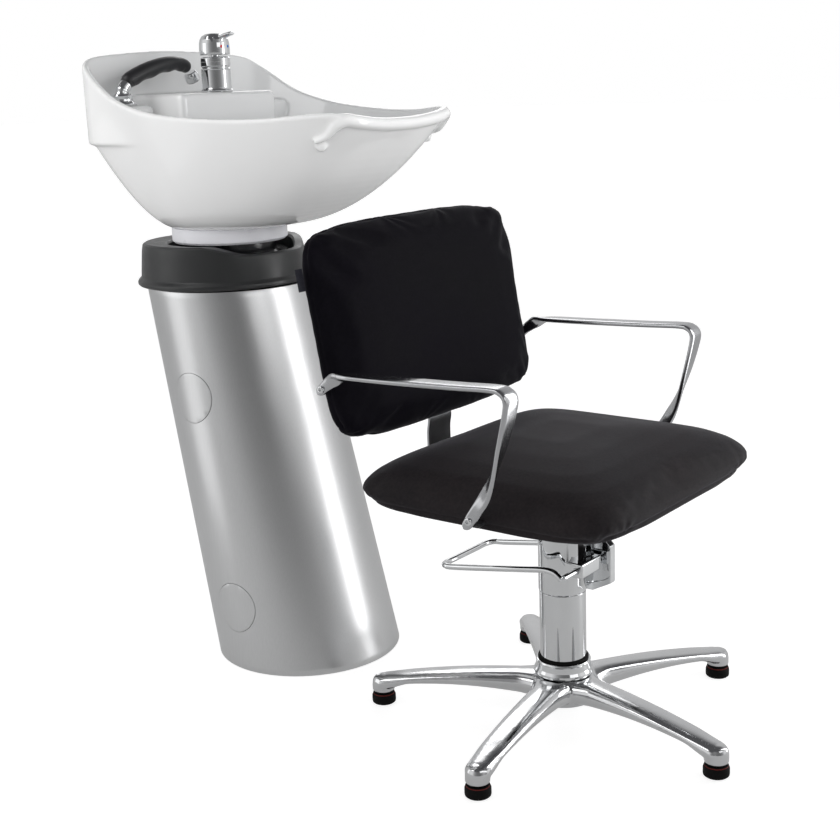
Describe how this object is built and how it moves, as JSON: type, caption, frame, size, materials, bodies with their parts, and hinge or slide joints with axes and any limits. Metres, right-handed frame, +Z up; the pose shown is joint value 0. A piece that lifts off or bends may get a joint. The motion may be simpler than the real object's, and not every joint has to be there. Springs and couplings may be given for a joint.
{
  "type": "shampoo backwash unit",
  "caption": "Tilting ceramic hair-wash basin with mixer tap and hand shower on a leaning steel column, with a hydraulic swivel armchair on a star base in front.",
  "frame": {"origin": "centre of the column foot on the floor", "axes": "+Z up; -Y towards the chair and the way the sitter faces; +X the sitter's left"},
  "size_m": [0.6124, 1.1974, 1.1105],
  "materials": {
    "white_ceramic": "glossy white glaze",
    "white_collar": "white, semi-gloss",
    "brushed_steel": "brushed along the height",
    "grey_plastic": "dark grey, fine matt grain",
    "black_gloss": "black, polished",
    "chrome": "polished",
    "grip_black": "black, satin",
    "spray_grey": "dark grey with nozzles",
    "steel_frame": "grey paint, satin",
    "black_paint": "black paint, satin",
    "pipe_plastic": "light grey pipe",
    "braided_hose": "braided sleeve",
    "arm_aluminium": "polished flat bar",
    "star_aluminium": "polished casting",
    "black_rubber": "matt",
    "plywood": "bare plywood",
    "upholstery": "black, fine grain",
    "tag_fabric": "black woven, plain"
  },
  "bodies": {
    "stands": {"access_cap_lower": "brushed_steel", "access_cap_upper": "brushed_steel", "base_plate": "steel_frame", "column_shell": "brushed_steel", "foot_pad_1": "black_rubber", "foot_pad_2": "black_rubber", "foot_pad_3": "black_rubber", "foot_pad_4": "black_rubber", "foot_pad_5": "black_rubber", "head_plate": "steel_frame", "hub_collar": "chrome", "pump_cover": "chrome", "pump_head": "chrome", "pump_tube": "chrome", "ring_cover": "grey_plastic", "star_base": "star_aluminium", "supply_pipe_cold": "chrome", "supply_pipe_hot": "chrome", "support_post": "steel_frame", "tilt_socket": "black_gloss", "tube_seal": "black_rubber", "waste_bell": "pipe_plastic", "waste_hose": "pipe_plastic"},
    "basin": {"basin_bowl": "white_ceramic", "basin_collar": "white_collar", "tilt_ball": "chrome", "waste_fitting": "chrome", "tap_body": "chrome", "supply_hose_hot": "braided_hose", "supply_hose_cold": "braided_hose", "handset_holder": "chrome", "handset_hose": "braided_hose"},
    "tap_top": {"tap_cartridge": "chrome"},
    "tap_handle": {"tap_lever": "chrome"},
    "handset": {"handset_neck": "chrome", "handset_grip": "grip_black", "handset_head": "chrome", "spray_face": "spray_grey"},
    "drain_strainer": {"strainer": "chrome"},
    "foot_bar": {"pump_bar": "chrome", "bar_axle": "chrome"},
    "lift_ram": {"ram": "chrome"},
    "seat": {"seat_mount": "black_paint", "seat_board": "plywood", "seat_cushion": "upholstery", "back_cushion": "upholstery", "back_board": "plywood", "back_panel": "upholstery", "back_bar": "arm_aluminium", "back_tag": "tag_fabric", "arm_right": "arm_aluminium", "arm_left": "arm_aluminium", "arm_screw_front_right": "chrome", "arm_screw_front_left": "chrome", "arm_screw_rear_right": "chrome", "arm_screw_rear_left": "chrome", "arm_bracket_right": "black_paint", "arm_bracket_left": "black_paint"}
  },
  "joints": [
    {"name": "basin_tilt", "type": "hinge", "parent": "stands", "child": "basin", "pos_m": [0, 0.14, 0.706], "axis": [-1, 0, 0], "range_deg": [-8, 4]},
    {"name": "tap_swivel", "type": "hinge", "parent": "basin", "child": "tap_top", "pos_m": [0, 0.148, 1.063], "axis": [0, 0, 1], "range_deg": [-45, 45]},
    {"name": "tap_lever_lift", "type": "hinge", "parent": "tap_top", "child": "tap_handle", "pos_m": [0, 0.166, 1.077], "axis": [-1, 0, 0], "range_deg": [0, 20]},
    {"name": "handset_lift", "type": "slide", "parent": "basin", "child": "handset", "axis": [0, 0, 1], "range_m": [0, 0.15]},
    {"name": "strainer_lift", "type": "slide", "parent": "basin", "child": "drain_strainer", "axis": [0, 0, 1], "range_m": [0, 0.05]},
    {"name": "foot_bar_press", "type": "hinge", "parent": "stands", "child": "foot_bar", "pos_m": [0, -0.604, 0.262], "axis": [-1, 0, 0], "range_deg": [0, 18]},
    {"name": "seat_lift", "type": "slide", "parent": "stands", "child": "lift_ram", "axis": [0, 0, 1], "range_m": [0, 0.1]},
    {"name": "seat_swivel", "type": "hinge", "parent": "lift_ram", "child": "seat", "pos_m": [0, -0.56, 0.335], "axis": [0, 0, 1], "continuous": true}
  ]
}
